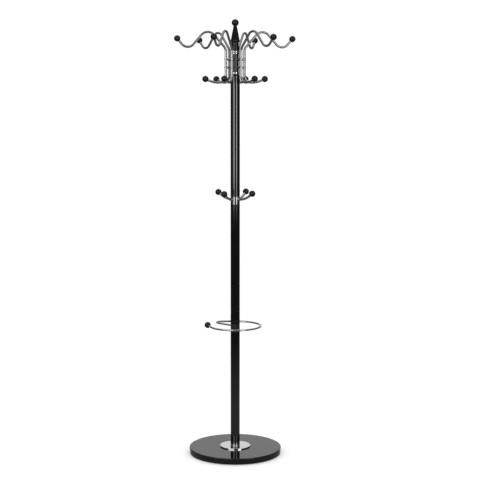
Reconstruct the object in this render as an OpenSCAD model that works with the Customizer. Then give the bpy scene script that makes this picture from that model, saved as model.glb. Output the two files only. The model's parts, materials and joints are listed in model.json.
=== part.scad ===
// Standing coat rack: a stone base, a pole of three tubes joined by two collars, an umbrella
// ring on the lower collar, four short hooks on the upper one, and a turning crown of six
// double-ended arms under a turned finial. Millimetres, +Z up, origin on the floor at the
// pole's axis, first crown arm along +X.

/* [Base] */
// Diameter of the stone base
base_d = 380; // [330:1:460]
// Thickness of the stone base
base_h = 25; // [20:0.5:40]
// Rounding of the stone's upper and lower edge
base_edge_r = 3; // [1:0.5:8]
// Number of felt pads under the base
pad_count = 6; // [3:1:8]
// Diameter of a felt pad
pad_d = 22; // [14:1:30]
// Thickness of a felt pad
pad_h = 2; // [1.5:0.5:4]
// Distance from the pads' outer edge to the edge of the base
pad_inset = 16; // [12:1:40]
// Depth of the recess for the bolt head and washer
recess_h = 10; // [9.5:0.5:14]
// Diameter of that recess
recess_d = 50; // [48:1:70]

/* [Foot] */
// Diameter of the flange on the base
flange_d = 125; // [80:1:160]
// Thickness of the flange
flange_h = 5; // [4:0.5:10]
// Rounding of the flange's upper edge
flange_edge_r = 0.8; // [0.4:0.1:2]
// Height of the foot collar between flange and pole
foot_collar_h = 6; // [4:0.5:20]

/* [Pole] */
// Outer diameter of the pole
pole_d = 38; // [36:0.5:50]
// Wall of the pole's tubes
tube_wall = 1.5; // [1:0.1:2]
// Length of the lower tube
lower_tube_len = 471; // [380:1:600]
// Length of the middle tube
middle_tube_len = 494; // [300:1:650]
// Length of the upper tube
upper_tube_len = 478; // [300:1:650]
// Visible height of a coupling collar
collar_h = 32.5; // [26:0.5:50]
// Chamfer at each end of a collar
collar_chamfer = 0.6; // [0.3:0.1:1.2]
// Depth that a collar, a foot or a cap reaches into a tube
spigot_h = 15; // [10:1:25]
// Thickness of a threaded nut plate inside a tube
nut_plate_h = 12; // [8:1:20]
// Height of the cap that closes the pole below the crown
cap_h = 15; // [12:0.5:25]
// Diameter of the top of that cap
cap_top_d = 33.5; // [30:0.5:35]
// Diameter of the studs and of the base bolt
stud_d = 10; // [8:0.5:12]
// Head of the base bolt, across its flats
bolt_head_af = 17; // [15:0.5:19]
// Height of the base bolt's head
bolt_head_h = 6; // [5:0.1:6.4]
// Diameter of the washer under the bolt's head
washer_d = 44; // [30:1:46]
// Thickness of that washer
washer_h = 3; // [2:0.1:3.4]

/* [Umbrella ring] */
// Radius of the ring to the middle of its rod
ring_r = 104.5; // [90:0.5:130]
// Diameter of the ring's rod
ring_rod_d = 8; // [6:0.5:9]
// Depth of the rod's middle below the collar's top
ring_drop = 7.5; // [6:0.5:16]
// Direction of the rod's straight spoke
spoke_az = 130; // [0:1:359]
// Bend radius of the hairpin between spoke and ring
hairpin_r = 25; // [18:0.5:30]
// How far the hairpin stands out beyond the ring
hairpin_bulge = 13; // [4:0.5:20]
// Angle that the ring runs round before its straight end
ring_sweep = 257; // [180:1:265]
// Length of the straight end, to the middle of its ball
ring_tail = 48; // [30:1:60]

/* [Middle hooks] */
// Direction of the first middle hook
hook_az = 48; // [0:1:89]
// Diameter of the hooks' rods
hook_rod_d = 10; // [8:0.5:11]
// Depth of the hooks' sockets below the collar's top
hook_drop = 12; // [8:0.5:18]
// Distance from the axis to the middle of a hook's ball
hook_reach = 81.5; // [62:0.5:110]
// Height of that ball's middle above the hook's socket
hook_rise = 26.5; // [12:0.5:36]

/* [Crown hub] */
// Diameter of the crown's hub
hub_d = 28; // [26:0.5:32]
// Height of the hub
hub_h = 72; // [66:1:100]
// Diameter of the collar on the hub
top_collar_d = 33; // [30:0.5:34]
// Height of that collar
top_collar_h = 12; // [8:0.5:20]
// Depth of the groove round that collar
groove_depth = 0.8; // [0.4:0.1:1.5]
// Diameter of the ring under the hub
bottom_ring_d = 32; // [28:0.5:34]
// Height of that ring
bottom_ring_h = 7; // [5:0.5:12]
// Height of the two bushes inside the hub
bush_h = 12; // [8:1:15]
// Wall of those bushes
bush_wall = 2; // [1.5:0.1:2.5]
// Diameter of the spindle that the crown turns on
spindle_d = 14; // [13:0.5:15]
// Diameter of the spindle's threaded end
spindle_end_d = 10; // [8:0.5:11]
// Thickness of the thrust washers
thrust_h = 0.8; // [0.5:0.1:1.5]
// Diameter of the thrust washers
thrust_d = 24; // [20:0.5:28]

/* [Crown arms] */
// Diameter of the arms' rods
arm_rod_d = 10; // [9:0.5:12]
// Distance from the axis to an arm's upright part
upright_r = 38; // [36:0.5:50]
// Height of the upright part's top above the hub's foot
upright_top = 82; // [76:0.5:110]
// Depth of the upright part's foot below the hub's foot
upright_foot = 13.5; // [4:0.5:17]
// Bend radius at the shoulder of an arm
shoulder_r = 30; // [20:1:40]
// Slope of the arm's straight stretches
arm_slope = 49; // [40:1:55]
// Length of the straight stretch that rises to the crest
rise_run = 61.5; // [40:0.5:80]
// Bend radius of the crest
crest_r = 33.5; // [20:0.5:45]
// Length of the straight stretch that falls to the valley
fall_run = 50; // [30:0.5:65]
// Bend radius of the valley
valley_r = 30; // [18:0.5:40]
// Length of the arm's straight tip, to the middle of its ball
tip_run = 30; // [22:0.5:50]
// Bend radius under the upright part
foot_bend_r = 28; // [20:0.5:34]
// Bend radius of the lower hook's end
hook_end_r = 106; // [80:1:160]
// Angle of the lower hook's end
hook_end_angle = 23; // [10:0.5:35]
// Height of the lower screws above the hub's foot
screw_low_z = 19; // [18:0.5:24]
// Height of the upper screws above the hub's foot
screw_high_z = 50.5; // [44:0.5:51]
// Diameter of the arms' screws
screw_d = 5; // [4:0.5:5]
// Diameter of a screw's domed head
screw_head_d = 10; // [8:0.5:10]
// Height of a screw's domed head
screw_head_h = 2.4; // [2:0.1:3]
// Size of the hexagon socket in a screw's head
screw_socket_af = 3; // [2:0.5:3]
// Diameter of the spacers between hub and arm
spacer_d = 9; // [8:0.5:10]

/* [Balls and finial] */
// Diameter of the balls
ball_d = 26; // [24:0.5:31]
// Diameter of the finial's ball
finial_ball_d = 29; // [26:0.5:34]
// Height of the whole finial
finial_h = 126; // [116:1:150]
// Diameter of the finial's neck under its ball
finial_neck_d = 14.5; // [12:0.5:20]
// Largest diameter of the finial's cone
finial_cone_d = 37; // [34:0.5:42]
// Rounding where the cone turns in
finial_cone_r = 8; // [6:0.5:10]
// Height of that rounding's middle above the finial's foot
finial_cone_z = 39; // [36:0.5:46]
// Diameter of the finial's waist
finial_waist_d = 28.6; // [27:0.2:31]
// Diameter of the finial's foot
finial_foot_d = 33; // [32:0.5:36]
// Height of the finial's foot
finial_foot_h = 20; // [12:0.5:22]
// Rounding of the foot's upper edge
finial_foot_r = 2; // [0.5:0.5:3]
// Depth of the spindle's thread in the finial
finial_thread_h = 22; // [15:0.5:24]

/* [Fits] */
// Radial clearance of a piece seated in another
fit_gap = 0.1; // [0.05:0.01:0.2]
// Radial clearance of the spindle in its bushes
running_gap = 0.06; // [0.02:0.01:0.1]
// Clearance between the crown and what stays still
turn_gap = 0.3; // [0.2:0.05:0.6]
// Radial clearance of the bolt and the studs in plain holes
bolt_gap = 0.5; // [0.3:0.1:1]

/* [Hidden] */
$fn = 64;
ball_fn = 96;
flank_fn = 256;
arm_count = 6;
hook_count = 4;

// How far a cut stands past the face it opens, and how far two joined shapes overlap.
cut = 1;
eps = 0.01;
// What is left between a hole and the bore behind it, in the collars and in the hub.
socket_wall = 3;
screw_wall = 1.5;
// Depth of the flat that seats a screw's head on its rod, and of the shank inside that head.
seat_depth = 1;
shank_lap = 0.5;
// Floor of the socket in a screw's head, above the seat.
screw_socket_z = 0.8;
// Room past the spindle's end in the finial's thread.
thread_relief = 1;
// Straight rod that shows before it enters a ball.
ball_lead = 2;

tube_bore_d = pole_d - 2 * tube_wall;
plug_d = tube_bore_d - 2 * fit_gap;
thread_d = stud_d + 2 * fit_gap;
clear_d = stud_d + 2 * bolt_gap;

// Heights, from the floor up.
base_top = pad_h + base_h;
flange_top = base_top + flange_h;
lower_tube_z = flange_top + foot_collar_h;
umbrella_collar_z = lower_tube_z + lower_tube_len;
middle_tube_z = umbrella_collar_z + collar_h;
hook_collar_z = middle_tube_z + middle_tube_len;
upper_tube_z = hook_collar_z + collar_h;
cap_z = upper_tube_z + upper_tube_len;
cap_top = cap_z + cap_h;
bottom_ring_z = cap_top + thrust_h + turn_gap;
hub_z = bottom_ring_z + bottom_ring_h;
top_collar_z = hub_z + hub_h;
top_washer_z = top_collar_z + top_collar_h + turn_gap;
finial_z = top_washer_z + thrust_h;

// Inside the pole: nut plates beyond each spigot, and a stud through each collar.
nut_offset = spigot_h + fit_gap;
stud_len = collar_h + 2 * (nut_offset + nut_plate_h);
washer_z = pad_h + recess_h - washer_h;
bolt_len = lower_tube_z + nut_offset + nut_plate_h - washer_z;

// Sockets for rods in the collars stop short of the stud.
socket_floor_r = clear_d / 2 + socket_wall;
rod_start_r = socket_floor_r + fit_gap;
ring_z = middle_tube_z - ring_drop;
hook_z = upper_tube_z - hook_drop;

// Inside the hub.
bush_bore_d = spindle_d + 2 * running_gap;
bush_d = bush_bore_d + 2 * bush_wall;
hub_bore_d = bush_d + 2 * fit_gap;
crown_bore_d = spindle_d + 2 * turn_gap;
screw_tip_r = hub_bore_d / 2 + screw_wall;
screw_seat_r = upright_r + arm_rod_d / 2 - seat_depth;

// Bends are thinner than straight stretches by this much all round, and lapped by this much.
rod_step = 0.02;
rod_lap = 0.1;

// Rods end in the middle of their balls, and the last stretch is straight.
ball_seat = ball_d / 2 + ball_lead;
ball_bore_past = 0.5;

// A rod is a chain of steps: a straight run, then a bend radius and angle. A positive angle
// turns left. Each path starts at the origin and runs along +X.
arm_up_path = [
    [upright_top - hub_h / 2, shoulder_r, arm_slope - 90],
    [rise_run, crest_r, -2 * arm_slope],
    [fall_run, valley_r, 2 * arm_slope],
    [tip_run, 0, 0],
];
arm_down_path = [
    [hub_h / 2 + upright_foot, foot_bend_r, 90],
    [0, hook_end_r, hook_end_angle],
    [ball_seat, 0, 0],
];

// A middle hook leaves its collar level and bends once, so that its ball is at the reach and
// the rise given: hook_tangent is the bend's tangent length.
hook_out = hook_reach - pole_d / 2;
hook_tangent = (pow(hook_out, 2) + pow(hook_rise, 2) - pow(ball_seat, 2))
    / (2 * (hook_out + ball_seat));
hook_angle = atan2(hook_rise, hook_out - hook_tangent);
hook_path = [
    [pole_d / 2 - rod_start_r, hook_tangent / tan(hook_angle / 2), hook_angle],
    [ball_seat, 0, 0],
];

// The umbrella ring: out along the spoke, round the hairpin, along the straight run that
// touches both the hairpin and the ring, round the ring in two halves, and straight to the ball.
hairpin_dist = ring_r + hairpin_bulge - hairpin_r;
spoke_reach = sqrt(pow(hairpin_dist, 2) - pow(hairpin_r, 2));
hairpin_turn = 90 + atan(hairpin_r / spoke_reach) + acos((ring_r - hairpin_r) / hairpin_dist);
link_run = sqrt(pow(hairpin_dist, 2) - pow(ring_r - hairpin_r, 2));
ring_path = [
    [spoke_reach - rod_start_r, hairpin_r, -hairpin_turn],
    [link_run, ring_r, -ring_sweep / 2],
    [0, ring_r, -ring_sweep / 2],
    [ring_tail, 0, 0],
];

// End of a rod path, as [x, y, heading].
function path_end(path, k = 0, at = [0, 0, 0]) =
    k == len(path) ? at :
    let (step = path[k], turn = abs(step[2]),
         ahead = step[0] + step[1] * sin(turn),
         aside = sign(step[2]) * step[1] * (1 - cos(turn)))
    path_end(path, k + 1, [
        at[0] + ahead * cos(at[2]) - aside * sin(at[2]),
        at[1] + ahead * sin(at[2]) + aside * cos(at[2]),
        at[2] + step[2]]);

// --- shapes that repeat ---

// A ring or tube standing at height z.
module ring_at(z, h, od, id) {
    translate([0, 0, z]) difference() {
        cylinder(d = od, h = h);
        translate([0, 0, -cut]) cylinder(d = id, h = h + 2 * cut);
    }
}

// A hexagonal bar, by the size across its flats.
module hexagon(flats, h) {
    cylinder(d = flats / cos(30), h = h, $fn = 6);
}

// Half outline of a disc with rounded edges.
module rounded_outline(d, h, top_r, bottom_r) {
    square([d / 2 - max(top_r, bottom_r), h]);
    translate([0, bottom_r]) square([d / 2, h - top_r - bottom_r]);
    translate([d / 2 - top_r, h - top_r]) circle(r = top_r);
    translate([0, h - top_r]) square([d / 2 - top_r, top_r]);
    if (bottom_r > 0) {
        translate([d / 2 - bottom_r, bottom_r]) circle(r = bottom_r);
        square([d / 2 - bottom_r, bottom_r]);
    }
}

// One bend of a rod from the origin along +X, turning left for a positive angle.
module rod_bend(d, r, turn) {
    module left_bend() {
        translate([0, r, 0]) rotate([0, 0, -90])
            rotate_extrude(angle = abs(turn)) translate([r, 0]) circle(d = d);
    }
    if (turn > 0) left_bend();
    else mirror([0, 1, 0]) left_bend();
}

// A bent rod that follows a path in the XY plane. Its straight stretches reach a hair into the
// bends, which are a hair thinner, so that every joint in the rod is a clean rim.
module bent_rod(d, path, k = 0) {
    if (k < len(path)) {
        run = path[k][0];
        turn = path[k][2];
        back = k > 0 ? rod_lap : 0;
        ahead = turn != 0 ? rod_lap : 0;
        translate([-back, 0, 0]) rotate([0, 90, 0]) cylinder(d = d, h = back + run + ahead);
        translate([run, 0, 0]) {
            if (turn != 0) rod_bend(d - 2 * rod_step, path[k][1], turn);
            bend_end = path_end([[0, path[k][1], turn]]);
            translate([bend_end[0], bend_end[1], 0]) rotate([0, 0, turn])
                bent_rod(d, path, k + 1);
        }
    }
}

// A ball with a blind bore, on the end of a rod that follows a path.
module ball_on(path, rod_d) {
    end = path_end(path);
    translate([end[0], end[1], 0]) rotate([0, 0, end[2]]) difference() {
        sphere(d = ball_d, $fn = ball_fn);
        translate([ball_bore_past, 0, 0]) rotate([0, -90, 0])
            cylinder(d = rod_d + 2 * fit_gap, h = ball_d);
    }
}

// Stands a path's XY plane upright, so that +X runs outward at an azimuth and +Y is up.
module upright_at(az, r, z) {
    rotate([0, 0, az]) translate([r, 0, z]) rotate([90, 0, 0]) children();
}

// A round plate with a threaded hole, inside a tube.
module nut_plate(z) {
    ring_at(z, nut_plate_h, plug_d, thread_d);
}

module pole_tube(z, length) {
    ring_at(z, length, pole_d, tube_bore_d);
}

// A collar between two tubes: its body, a spigot at each end and a hole for the stud.
module coupling(z) {
    translate([0, 0, z]) difference() {
        union() {
            rotate_extrude() polygon([
                [0, 0], [pole_d / 2 - collar_chamfer, 0], [pole_d / 2, collar_chamfer],
                [pole_d / 2, collar_h - collar_chamfer],
                [pole_d / 2 - collar_chamfer, collar_h], [0, collar_h]]);
            translate([0, 0, -spigot_h]) cylinder(d = plug_d, h = collar_h + 2 * spigot_h);
        }
        translate([0, 0, -spigot_h - cut])
            cylinder(d = clear_d, h = collar_h + 2 * (spigot_h + cut));
    }
}

// The hole in a collar that holds a rod.
module socket(az, z, rod_d) {
    rotate([0, 0, az]) translate([socket_floor_r, 0, z]) rotate([0, 90, 0])
        cylinder(d = rod_d + 2 * fit_gap, h = pole_d);
}

module stud(collar_z) {
    translate([0, 0, collar_z - nut_offset - nut_plate_h]) cylinder(d = stud_d, h = stud_len);
}

// Places its children at each of the arms' screws: +Z outward, origin on the pole's axis.
module at_screws() {
    for (i = [0:arm_count - 1]) at_arm_screws(i) children();
}

module at_arm_screws(i) {
    for (z = [screw_low_z, screw_high_z])
        rotate([0, 0, i * 360 / arm_count]) translate([0, 0, hub_z + z]) rotate([0, 90, 0])
            children();
}

// --- base and foot ---

module base_disc() {
    color("#2a2b2d") difference() {
        translate([0, 0, pad_h]) rotate_extrude()
            rounded_outline(base_d, base_h, base_edge_r, base_edge_r);
        cylinder(d = clear_d, h = base_top + cut);
        cylinder(d = recess_d, h = pad_h + recess_h);
    }
}

module base_pads() {
    color("#3b3b3d") for (i = [0:pad_count - 1])
        rotate([0, 0, i * 360 / pad_count])
            translate([base_d / 2 - pad_inset - pad_d / 2, 0, 0]) cylinder(d = pad_d, h = pad_h);
}

module base_bolt() {
    color("silver") {
        translate([0, 0, washer_z]) cylinder(d = stud_d, h = bolt_len);
        translate([0, 0, washer_z - bolt_head_h])
            hexagon(bolt_head_af, bolt_head_h);
    }
}

module base_washer() {
    color("silver") ring_at(washer_z, washer_h, washer_d, clear_d);
}

module base_flange() {
    color("gainsboro") difference() {
        translate([0, 0, base_top]) rotate_extrude()
            rounded_outline(flange_d, flange_h, flange_edge_r, 0);
        cylinder(d = clear_d, h = flange_top + cut);
    }
}

module foot_collar() {
    color("gainsboro") difference() {
        union() {
            translate([0, 0, flange_top]) cylinder(d = pole_d, h = foot_collar_h);
            translate([0, 0, flange_top]) cylinder(d = plug_d, h = foot_collar_h + spigot_h);
        }
        cylinder(d = clear_d, h = lower_tube_z + spigot_h + cut);
    }
}

// --- pole ---

module lower_tube() {
    color("#151515") pole_tube(lower_tube_z, lower_tube_len);
}

module lower_tube_foot_nut() {
    color("silver") nut_plate(lower_tube_z + nut_offset);
}

module lower_tube_head_nut() {
    color("silver") nut_plate(umbrella_collar_z - nut_offset - nut_plate_h);
}

module umbrella_collar() {
    color("gainsboro") difference() {
        coupling(umbrella_collar_z);
        socket(spoke_az, ring_z, ring_rod_d);
    }
}

module lower_stud() {
    color("silver") stud(umbrella_collar_z);
}

module umbrella_ring() {
    color("gainsboro") rotate([0, 0, spoke_az]) translate([rod_start_r, 0, ring_z])
        bent_rod(ring_rod_d, ring_path);
}

module umbrella_ball() {
    color("#151515") rotate([0, 0, spoke_az]) translate([rod_start_r, 0, ring_z])
        ball_on(ring_path, ring_rod_d);
}

module middle_tube() {
    color("#151515") pole_tube(middle_tube_z, middle_tube_len);
}

module middle_tube_foot_nut() {
    color("silver") nut_plate(middle_tube_z + nut_offset);
}

module middle_tube_head_nut() {
    color("silver") nut_plate(hook_collar_z - nut_offset - nut_plate_h);
}

module hook_collar() {
    color("gainsboro") difference() {
        coupling(hook_collar_z);
        for (i = [0:hook_count - 1])
            socket(hook_az + i * 360 / hook_count, hook_z, hook_rod_d);
    }
}

module upper_stud() {
    color("silver") stud(hook_collar_z);
}

module middle_hook(i) {
    color("gainsboro") upright_at(hook_az + (i - 1) * 360 / hook_count, rod_start_r, hook_z)
        bent_rod(hook_rod_d, hook_path);
}

module middle_ball(i) {
    color("#151515") upright_at(hook_az + (i - 1) * 360 / hook_count, rod_start_r, hook_z)
        ball_on(hook_path, hook_rod_d);
}

module upper_tube() {
    color("#151515") pole_tube(upper_tube_z, upper_tube_len);
}

module upper_tube_foot_nut() {
    color("silver") nut_plate(upper_tube_z + nut_offset);
}

// The cap's flank is an arc that starts upright at the tube and leans in to the top.
module pole_cap() {
    lean = (pole_d - cap_top_d) / 2;
    flank_r = (pow(cap_h, 2) + pow(lean, 2)) / (2 * lean);
    color("#151515") difference() {
        union() {
            translate([0, 0, cap_z]) rotate_extrude() intersection() {
                square([pole_d / 2, cap_h]);
                translate([pole_d / 2 - flank_r, 0]) circle(r = flank_r, $fn = flank_fn);
            }
            translate([0, 0, cap_z - spigot_h]) cylinder(d = plug_d, h = spigot_h + eps);
        }
        translate([0, 0, cap_z - spigot_h - cut])
            cylinder(d = spindle_d + 2 * fit_gap, h = cap_h + spigot_h + 2 * cut);
    }
}

module spindle() {
    foot = cap_z - spigot_h;
    color("silver") {
        translate([0, 0, foot]) cylinder(d = spindle_d, h = top_washer_z - foot);
        translate([0, 0, foot])
            cylinder(d = spindle_end_d, h = finial_z + finial_thread_h - thread_relief - foot);
    }
}

module thrust_washer() {
    color("ivory") ring_at(cap_top, thrust_h, thrust_d, spindle_d + 2 * fit_gap);
}

// --- crown ---

module crown_bottom_ring() {
    color("gainsboro") ring_at(bottom_ring_z, bottom_ring_h, bottom_ring_d, crown_bore_d);
}

module crown_hub() {
    color("#1c1c1c") difference() {
        ring_at(hub_z, hub_h, hub_d, hub_bore_d);
        at_screws() translate([0, 0, screw_tip_r - fit_gap])
            cylinder(d = screw_d + 2 * fit_gap, h = hub_d);
    }
}

module bush(z) {
    color("ivory") ring_at(z, bush_h, bush_d, bush_bore_d);
}

module lower_bush() {
    bush(hub_z);
}

module upper_bush() {
    bush(top_collar_z - bush_h);
}

module crown_top_collar() {
    color("gainsboro") difference() {
        ring_at(top_collar_z, top_collar_h, top_collar_d, crown_bore_d);
        translate([0, 0, top_collar_z + top_collar_h / 2]) rotate_extrude()
            translate([top_collar_d / 2, 0]) circle(r = groove_depth);
    }
}

module crown_arm(i) {
    az = (i - 1) * 360 / arm_count;
    color("gainsboro") difference() {
        upright_at(az, upright_r, hub_z + hub_h / 2) {
            rotate([0, 0, 90]) bent_rod(arm_rod_d, arm_up_path);
            rotate([0, 0, -90]) bent_rod(arm_rod_d, arm_down_path);
        }
        at_arm_screws(i - 1) {
            cylinder(d = screw_d + 2 * fit_gap, h = screw_seat_r + cut);
            translate([0, 0, screw_seat_r])
                cylinder(d = screw_head_d + 2 * fit_gap, h = arm_rod_d);
        }
    }
}

module upper_ball(i) {
    color("#151515") upright_at((i - 1) * 360 / arm_count, upright_r, hub_z + hub_h / 2)
        rotate([0, 0, 90]) ball_on(arm_up_path, arm_rod_d);
}

module lower_ball(i) {
    color("#151515") upright_at((i - 1) * 360 / arm_count, upright_r, hub_z + hub_h / 2)
        rotate([0, 0, -90]) ball_on(arm_down_path, arm_rod_d);
}

// Spacers are hollowed at both ends, to sit on the hub and on the rod.
module arm_spacers() {
    color("gainsboro") at_screws() difference() {
        cylinder(d = spacer_d, h = upright_r);
        translate([0, 0, -cut]) cylinder(d = screw_d + 2 * bolt_gap, h = upright_r + 2 * cut);
        translate([-spacer_d, 0, 0]) rotate([0, 90, 0])
            cylinder(d = hub_d + 2 * fit_gap, h = 2 * spacer_d);
        translate([-spacer_d, 0, upright_r]) rotate([0, 90, 0])
            cylinder(d = arm_rod_d + 2 * fit_gap, h = 2 * spacer_d);
    }
}

module arm_screws() {
    dome_r = (pow(screw_head_d / 2, 2) + pow(screw_head_h, 2)) / (2 * screw_head_h);
    color("gainsboro") at_screws() difference() {
        union() {
            translate([0, 0, screw_tip_r])
                cylinder(d = screw_d, h = screw_seat_r - screw_tip_r + shank_lap);
            translate([0, 0, screw_seat_r]) intersection() {
                cylinder(d = screw_head_d, h = screw_head_h);
                translate([0, 0, screw_head_h - dome_r]) sphere(r = dome_r);
            }
        }
        translate([0, 0, screw_seat_r + screw_socket_z])
            hexagon(screw_socket_af, screw_head_h);
    }
}

module top_washer() {
    color("ivory") ring_at(top_washer_z, thrust_h, thrust_d, spindle_end_d + 2 * fit_gap);
}

// The cone runs from the neck to touch the rounding below it.
module finial() {
    neck = [finial_neck_d / 2, finial_h - finial_ball_d];
    round_at = [finial_cone_d / 2 - finial_cone_r, finial_cone_z];
    to_neck = neck - round_at;
    touch = atan2(to_neck[1], to_neck[0]) - acos(finial_cone_r / norm(to_neck));
    color("#151515") translate([0, 0, finial_z]) difference() {
        rotate_extrude() {
            rounded_outline(finial_foot_d, finial_foot_h, finial_foot_r, 0);
            square([finial_waist_d / 2, finial_cone_z]);
            translate(round_at) circle(r = finial_cone_r);
            polygon([
                [0, finial_cone_z - finial_cone_r],
                [round_at[0], finial_cone_z - finial_cone_r],
                round_at + finial_cone_r * [cos(touch), sin(touch)],
                neck, [0, neck[1]]]);
            translate([0, neck[1] - eps]) square([neck[0], finial_ball_d / 2]);
            translate([0, finial_h - finial_ball_d / 2]) intersection() {
                circle(d = finial_ball_d, $fn = ball_fn);
                translate([0, -finial_ball_d]) square(2 * finial_ball_d);
            }
        }
        translate([0, 0, -cut])
            cylinder(d = spindle_end_d + 2 * fit_gap, h = finial_thread_h + cut);
    }
}

base_disc();
base_pads();
base_bolt();
base_washer();
base_flange();
foot_collar();
lower_tube();
lower_tube_foot_nut();
lower_tube_head_nut();
umbrella_collar();
lower_stud();
umbrella_ring();
umbrella_ball();
middle_tube();
middle_tube_foot_nut();
middle_tube_head_nut();
hook_collar();
upper_stud();
for (i = [1:hook_count]) {
    middle_hook(i);
    middle_ball(i);
}
upper_tube();
upper_tube_foot_nut();
pole_cap();
spindle();
thrust_washer();
crown_bottom_ring();
crown_hub();
lower_bush();
upper_bush();
crown_top_collar();
for (i = [1:arm_count]) {
    crown_arm(i);
    upper_ball(i);
    lower_ball(i);
}
arm_spacers();
arm_screws();
top_washer();
finial();
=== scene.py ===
"""Looks for the standing coat rack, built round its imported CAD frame. Metres, +Z up."""

import json
import math

import bpy
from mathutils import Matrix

# The photograph's viewpoint, in degrees, metres from the pole's axis, and millimetres of lens.
CAMERA_AZIMUTH = -9.4
CAMERA_DISTANCE = 5.25
CAMERA_HEIGHT = 1.508
CAMERA_PITCH = -6.72
CAMERA_LENS = 97.09
CAMERA_SHIFT_X = 0.010
SENSOR_WIDTH = 36.0

# Softboxes: degrees from the camera's side, half width in metres, and strength.
SOFTBOX_LEFT = (-31, 2.05, 3.4)
SOFTBOX_RIGHT = (34.5, 0.95, 5.2)
SOFTBOX_DISTANCE = 5.0
SOFTBOX_HEIGHT = 1.825
SOFTBOX_HALF_HEIGHT = 1.375
SOFTBOX_FADE = 0.42

# The lamp overhead: metres, and watts.
LAMP_SIZE = 3.0
LAMP_HEIGHT = 3.4
LAMP_POWER = 6.0

FLOOR_RADIUS = 30.0
FLOOR_SIDES = 96
FLOOR_TONE = (0.86, 0.86, 0.86, 1.0)
FLOOR_GLOW = 0.23

# What polished surfaces reflect, by direction: the measure where it starts and ends, and the
# strength at each.
BACKDROP = (0.80, 0.93, 0.0, 0.67)
CEILING = (0.2, 0.7, 0.0, 0.80)
GROUND = (-0.242, -0.186, 0.22, 0.0)
ROOM = 0.05
# What the camera and diffuse light see instead.
SEEN_LEVEL = 1.05
DIFFUSE_LEVEL = 0.95

WHITE = (1.0, 1.0, 1.0, 1.0)
# Sockets of the Mix node that carry colours.
MIX_A, MIX_B, MIX_RESULT = 6, 7, 2

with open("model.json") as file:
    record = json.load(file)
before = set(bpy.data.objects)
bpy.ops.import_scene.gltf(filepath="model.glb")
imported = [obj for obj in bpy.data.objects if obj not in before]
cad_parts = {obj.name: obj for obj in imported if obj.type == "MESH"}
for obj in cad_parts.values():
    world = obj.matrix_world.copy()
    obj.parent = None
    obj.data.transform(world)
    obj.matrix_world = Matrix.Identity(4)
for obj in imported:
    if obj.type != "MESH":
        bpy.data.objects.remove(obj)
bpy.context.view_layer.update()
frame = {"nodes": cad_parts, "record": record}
nodes = frame["nodes"]
scene = bpy.context.scene


# --- shader building blocks ---

class Nodes:
    """A node tree under construction."""

    def __init__(self, tree):
        self.tree = tree

    def node(self, kind, **settings):
        made = self.tree.nodes.new(kind)
        for key, value in settings.items():
            setattr(made, key, value)
        return made

    def join(self, source, target):
        self.tree.links.new(source, target)

    def remap(self, value, low, high, to_low, to_high, **settings):
        made = self.node("ShaderNodeMapRange", **settings)
        keys = ("From Min", "From Max", "To Min", "To Max")
        for key, number in zip(keys, (low, high, to_low, to_high)):
            made.inputs[key].default_value = number
        self.join(value, made.inputs["Value"])
        return made.outputs["Result"]

    def math(self, operation, a, b):
        made = self.node("ShaderNodeMath", operation=operation)
        for socket, value in zip(made.inputs, (a, b)):
            if isinstance(value, (int, float)):
                socket.default_value = value
            else:
                self.join(value, socket)
        return made.outputs["Value"]


class Shader(Nodes):
    """A Principled material, with object coordinates for its patterns."""

    def __init__(self, name):
        self.material = bpy.data.materials.new(name)
        self.material.use_nodes = True
        super().__init__(self.material.node_tree)
        self.bsdf = self.tree.nodes["Principled BSDF"]
        self.coords = self.node("ShaderNodeTexCoord").outputs["Object"]

    def set(self, **sockets):
        for key, value in sockets.items():
            self.bsdf.inputs[key.replace("_", " ")].default_value = value

    def stretched(self, scale):
        mapping = self.node("ShaderNodeMapping")
        mapping.inputs["Scale"].default_value = scale
        self.join(self.coords, mapping.inputs["Vector"])
        return mapping.outputs["Vector"]

    def noise(self, scale, detail=4.0, roughness=0.5, vector=None):
        made = self.node("ShaderNodeTexNoise")
        made.inputs["Scale"].default_value = scale
        made.inputs["Detail"].default_value = detail
        made.inputs["Roughness"].default_value = roughness
        self.join(vector or self.coords, made.inputs["Vector"])
        return made.outputs["Fac"]

    def cells(self, scale):
        made = self.node("ShaderNodeTexVoronoi")
        made.inputs["Scale"].default_value = scale
        self.join(self.coords, made.inputs["Vector"])
        return made

    def mask(self, value, low, high):
        """0 up to low and 1 from high."""
        return self.remap(value, low, high, 0.0, 1.0)

    def fade(self, value, end):
        """1 at nothing, falling to 0 at the end."""
        return self.remap(value, 0.0, end, 1.0, 0.0)

    def scaled(self, value, amount):
        return self.math("MULTIPLY", value, amount)

    def blend(self, factor, a, b):
        made = self.node("ShaderNodeMix", data_type="RGBA")
        self.join(factor, made.inputs["Factor"])
        for socket, value in ((made.inputs[MIX_A], a), (made.inputs[MIX_B], b)):
            if isinstance(value, tuple):
                socket.default_value = (*value, 1.0)
            else:
                self.join(value, socket)
        return made.outputs[MIX_RESULT]

    def bump(self, height, strength, distance):
        made = self.node("ShaderNodeBump")
        made.inputs["Strength"].default_value = strength
        made.inputs["Distance"].default_value = distance
        self.join(height, made.inputs["Height"])
        return made.outputs["Normal"]

    def finish(self, color, roughness, normal):
        for key, source in (("Base Color", color), ("Roughness", roughness), ("Normal", normal)):
            self.join(source, self.bsdf.inputs[key])
        return self.material


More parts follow.
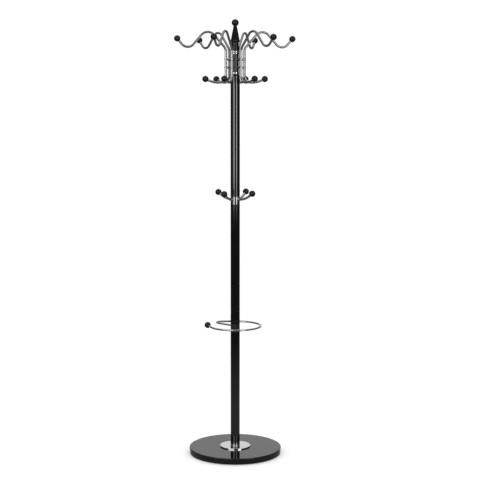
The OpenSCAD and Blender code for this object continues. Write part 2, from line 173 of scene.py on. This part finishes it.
def chrome(name, tone, rough):
    """Bright plating: a clean mirror with faint haze, hairline scratches and a slow ripple."""
    s = Shader(name)
    s.set(Metallic=1.0)
    haze = s.noise(28.0, detail=5.0, roughness=0.6)
    hairlines = s.noise(420.0, detail=2.0, vector=s.stretched((1.0, 1.0, 0.08)))
    bright = (tone, tone * 1.005, tone * 1.02)
    dull = tuple(0.88 * channel for channel in bright)
    return s.finish(
        s.blend(s.mask(haze, 0.35, 0.7), bright, dull),
        s.math("ADD", s.remap(haze, 0.3, 0.75, *rough), s.remap(hairlines, 0.55, 0.8, 0.0, 0.03)),
        s.bump(s.noise(90.0, detail=2.0), strength=0.03, distance=0.0004))


def gloss_black(name, ior, tones, rough, peel_scale, peel):
    """Black gloss coating with orange peel, faint dust and slight polish marks."""
    s = Shader(name)
    s.set(IOR=ior)
    cloud = s.noise(14.0, detail=5.0, roughness=0.6)
    dust = s.mask(s.noise(900.0, detail=2.0, roughness=0.6), 0.68, 0.8)
    faint_dust = s.scaled(dust, 0.06)
    low, high = ((tone,) * 3 for tone in tones)
    coating = s.blend(s.mask(cloud, 0.35, 0.7), low, high)
    return s.finish(
        s.blend(faint_dust, coating, (0.05, 0.05, 0.048)),
        s.math("ADD", s.remap(cloud, 0.3, 0.75, *rough), faint_dust),
        s.bump(s.noise(peel_scale, detail=2.0, roughness=0.4), strength=peel, distance=0.0003))


def polished_stone():
    """Black stone, polished: crystal flecks, faint veins and a slight unevenness."""
    s = Shader("polished_black_stone")
    s.set(IOR=1.47)
    glint = s.fade(s.cells(420.0).outputs["Distance"], 0.16)
    drift = s.noise(9.0, detail=6.0, roughness=0.65)
    veins = s.fade(s.math("ABSOLUTE", s.math("SUBTRACT", drift, 0.5), 0.0), 0.018)
    grain = s.mask(s.noise(60.0, detail=6.0, roughness=0.7), 0.35, 0.7)
    body = s.blend(grain, (0.002, 0.002, 0.0022), (0.006, 0.006, 0.0064))
    body = s.blend(s.scaled(glint, 0.12), body, (0.05, 0.05, 0.052))
    body = s.blend(s.scaled(veins, 0.10), body, (0.06, 0.06, 0.06))
    return s.finish(
        body,
        s.math("ADD", s.remap(drift, 0.3, 0.7, 0.05, 0.11), s.scaled(glint, 0.1)),
        s.bump(s.noise(700.0, detail=3.0), strength=0.02, distance=0.0002))


def felt():
    """Pressed felt: stretched fibres and a soft sheen."""
    s = Shader("dark_felt")
    s.set(Sheen_Weight=0.35, Sheen_Roughness=0.6)
    fibre = s.noise(1400.0, detail=8.0, roughness=0.75, vector=s.stretched((1.0, 0.35, 1.0)))
    return s.finish(
        s.blend(s.mask(fibre, 0.35, 0.65), (0.03, 0.03, 0.032), (0.11, 0.11, 0.115)),
        s.remap(fibre, 0.3, 0.7, 0.85, 1.0),
        s.bump(fibre, strength=0.6, distance=0.0006))


def zinc():
    """Zinc plating with a fine spangle."""
    s = Shader("zinc_plated_steel")
    s.set(Metallic=1.0)
    spangle = s.cells(260.0).outputs["Color"]
    tone = s.mask(s.noise(40.0), 0.35, 0.65)
    return s.finish(
        s.blend(tone, (0.5, 0.51, 0.53), (0.68, 0.69, 0.7)),
        s.remap(spangle, 0.0, 1.0, 0.28, 0.42),
        s.bump(s.noise(500.0, detail=3.0), strength=0.1, distance=0.0003))


def moulded(name, low, high, rough):
    """Moulded plastic with a fine spark-eroded grain."""
    s = Shader(name)
    s.set(IOR=1.47)
    grain = s.noise(1100.0, roughness=0.6)
    return s.finish(
        s.blend(s.mask(s.noise(30.0), 0.35, 0.65), low, high),
        s.remap(grain, 0.3, 0.7, *rough),
        s.bump(grain, strength=0.15, distance=0.0003))


# Looks by the record's material slots.
MATERIALS = {
    "chrome": chrome("polished_chrome", tone=0.40, rough=(0.05, 0.10)),
    "black_tube": gloss_black("black_coated_tube", ior=1.65, tones=(0.0025, 0.0045),
                              rough=(0.05, 0.08), peel_scale=500.0, peel=0.02),
    "black_hub": gloss_black("black_coated_hub", ior=1.6, tones=(0.003, 0.005),
                             rough=(0.06, 0.09), peel_scale=700.0, peel=0.03),
    "black_gloss": gloss_black("black_lacquer", ior=1.4, tones=(0.002, 0.004),
                               rough=(0.05, 0.09), peel_scale=400.0, peel=0.02),
    "base_stone": polished_stone(),
    "felt": felt(),
    "zinc_steel": zinc(),
    "ivory_nylon": moulded("natural_nylon", low=(0.62, 0.58, 0.47), high=(0.70, 0.66, 0.56),
                           rough=(0.4, 0.55)),
}

# Some pieces take darker or brighter copies of the plating. The darker tones on the foot collar,
# crown top collar and crown arms are painted shade that dulls their reflections. The brighter
# tones on the flange and screw heads are painted light.
SHADED_AND_LIT_CHROME_BY_NODE = {
    "base_flange": chrome("flange_chrome_painted_light", tone=0.80, rough=(0.09, 0.16)),
    "foot_collar": chrome("foot_collar_chrome_painted_shade", tone=0.22, rough=(0.30, 0.42)),
    "umbrella_collar": chrome("umbrella_collar_chrome", tone=0.36, rough=(0.05, 0.10)),
    "crown_top_collar": chrome("top_collar_chrome_painted_shade", tone=0.33, rough=(0.14, 0.22)),
    "arm_spacers": chrome("spacer_chrome", tone=0.45, rough=(0.25, 0.35)),
    "arm_screws": chrome("screw_chrome_painted_highlight", tone=0.60, rough=(0.12, 0.18)),
}
# Darker plating on the crown arms: painted shade that dulls their reflections.
arm_chrome_painted_shade = chrome("arm_chrome_painted_shade", tone=0.32, rough=(0.16, 0.21))
SHADED_AND_LIT_CHROME_BY_NODE.update({name: arm_chrome_painted_shade for name in nodes if name.startswith("crown_arm_")})

for subpart in frame["record"]["subparts"]:
    part = nodes[subpart["node"]]
    part.data.materials.clear()
    part.data.materials.append(MATERIALS[subpart["material_slot"]])
for name, material in SHADED_AND_LIT_CHROME_BY_NODE.items():
    nodes[name].data.materials[0] = material

# --- stage ---


def toward_camera(turn, distance, height):
    """The point at that distance from the axis, turned by degrees from the camera's side."""
    angle = math.radians(CAMERA_AZIMUTH + turn)
    return (distance * math.sin(angle), -distance * math.cos(angle), height)


def emitter(name, strength, low):
    """A softbox's face: it fades in over SOFTBOX_FADE metres above its lower edge."""
    material = bpy.data.materials.new(name)
    material.use_nodes = True
    material.node_tree.nodes.clear()
    s = Nodes(material.node_tree)
    split = s.node("ShaderNodeSeparateXYZ")
    s.join(s.node("ShaderNodeTexCoord").outputs["Object"], split.inputs["Vector"])
    glow = s.node("ShaderNodeEmission")
    s.join(s.remap(split.outputs["Z"], low, low + SOFTBOX_FADE, 0.0, strength),
           glow.inputs["Strength"])
    s.join(glow.outputs["Emission"], s.node("ShaderNodeOutputMaterial").inputs["Surface"])
    return material


def panel(name, turn, half_width, strength):
    """A softbox that faces the pole's axis, and that shows only in reflections."""
    centre = toward_camera(turn, SOFTBOX_DISTANCE, SOFTBOX_HEIGHT)
    mesh = bpy.data.meshes.new(name)
    w, h = half_width, SOFTBOX_HALF_HEIGHT
    corners = [(-w, 0, -h), (w, 0, -h), (w, 0, h), (-w, 0, h)]
    mesh.from_pydata(corners, [], [(0, 1, 2, 3)])
    mesh.materials.append(emitter(name + "_glow", strength, -h))
    made = bpy.data.objects.new(name, mesh)
    made.location = centre
    made.rotation_euler = (0, 0, math.atan2(centre[0], -centre[1]))
    made.visible_camera = False
    made.visible_diffuse = False
    bpy.context.collection.objects.link(made)


panel("softbox_left", *SOFTBOX_LEFT)
panel("softbox_right", *SOFTBOX_RIGHT)

mesh = bpy.data.meshes.new("floor")
rim = [2 * math.pi * i / FLOOR_SIDES for i in range(FLOOR_SIDES)]
mesh.from_pydata([(FLOOR_RADIUS * math.cos(a), FLOOR_RADIUS * math.sin(a), 0) for a in rim],
                 [], [tuple(range(FLOOR_SIDES))])
floor = bpy.data.objects.new("floor", mesh)
floor.visible_glossy = False
bpy.context.collection.objects.link(floor)
pale = Shader("pale_floor")
pale.set(Base_Color=FLOOR_TONE, Roughness=0.9, Specular_IOR_Level=0.0,
         Emission_Color=WHITE, Emission_Strength=FLOOR_GLOW)
mesh.materials.append(pale.material)

lamp = bpy.data.lights.new("overhead", "AREA")
lamp.shape = "SQUARE"
lamp.size = LAMP_SIZE
lamp.energy = LAMP_POWER
overhead = bpy.data.objects.new("overhead", lamp)
overhead.location = (0, 0, LAMP_HEIGHT)
overhead.visible_glossy = False
bpy.context.collection.objects.link(overhead)

world = bpy.data.worlds.new("studio")
scene.world = world
world.use_nodes = True
world.node_tree.nodes.clear()
sky = Nodes(world.node_tree)
direction = sky.node("ShaderNodeTexCoord").outputs["Generated"]
away = sky.node("ShaderNodeVectorMath", operation="DOT_PRODUCT")
away.inputs[1].default_value = [-x for x in toward_camera(0, 1, 0)]
sky.join(direction, away.inputs[0])
split = sky.node("ShaderNodeSeparateXYZ")
sky.join(direction, split.inputs["Vector"])
surround = ROOM
for measure, band in ((away.outputs["Value"], BACKDROP), (split.outputs["Z"], CEILING),
                      (split.outputs["Z"], GROUND)):
    band_level = sky.remap(measure, *band, interpolation_type="SMOOTHSTEP")
    surround = sky.math("ADD", band_level, surround)
rays = sky.node("ShaderNodeLightPath")
plain = sky.math("ADD", sky.math("MULTIPLY", rays.outputs["Is Camera Ray"], SEEN_LEVEL),
                 sky.math("MULTIPLY", rays.outputs["Is Diffuse Ray"], DIFFUSE_LEVEL))
background = sky.node("ShaderNodeBackground")
background.inputs["Color"].default_value = WHITE
sky.join(sky.math("MAXIMUM", surround, plain), background.inputs["Strength"])
output = sky.node("ShaderNodeOutputWorld")
sky.join(background.outputs["Background"], output.inputs["Surface"])

camera_data = bpy.data.cameras.new("camera")
camera = bpy.data.objects.new("camera", camera_data)
bpy.context.collection.objects.link(camera)
camera_data.lens = CAMERA_LENS
camera_data.sensor_width = SENSOR_WIDTH
camera_data.shift_x = CAMERA_SHIFT_X
camera.location = toward_camera(0, CAMERA_DISTANCE, CAMERA_HEIGHT)
camera.rotation_euler = (math.radians(90 + CAMERA_PITCH), 0, math.radians(CAMERA_AZIMUTH))
scene.camera = camera
scene.view_settings.view_transform = "Standard"
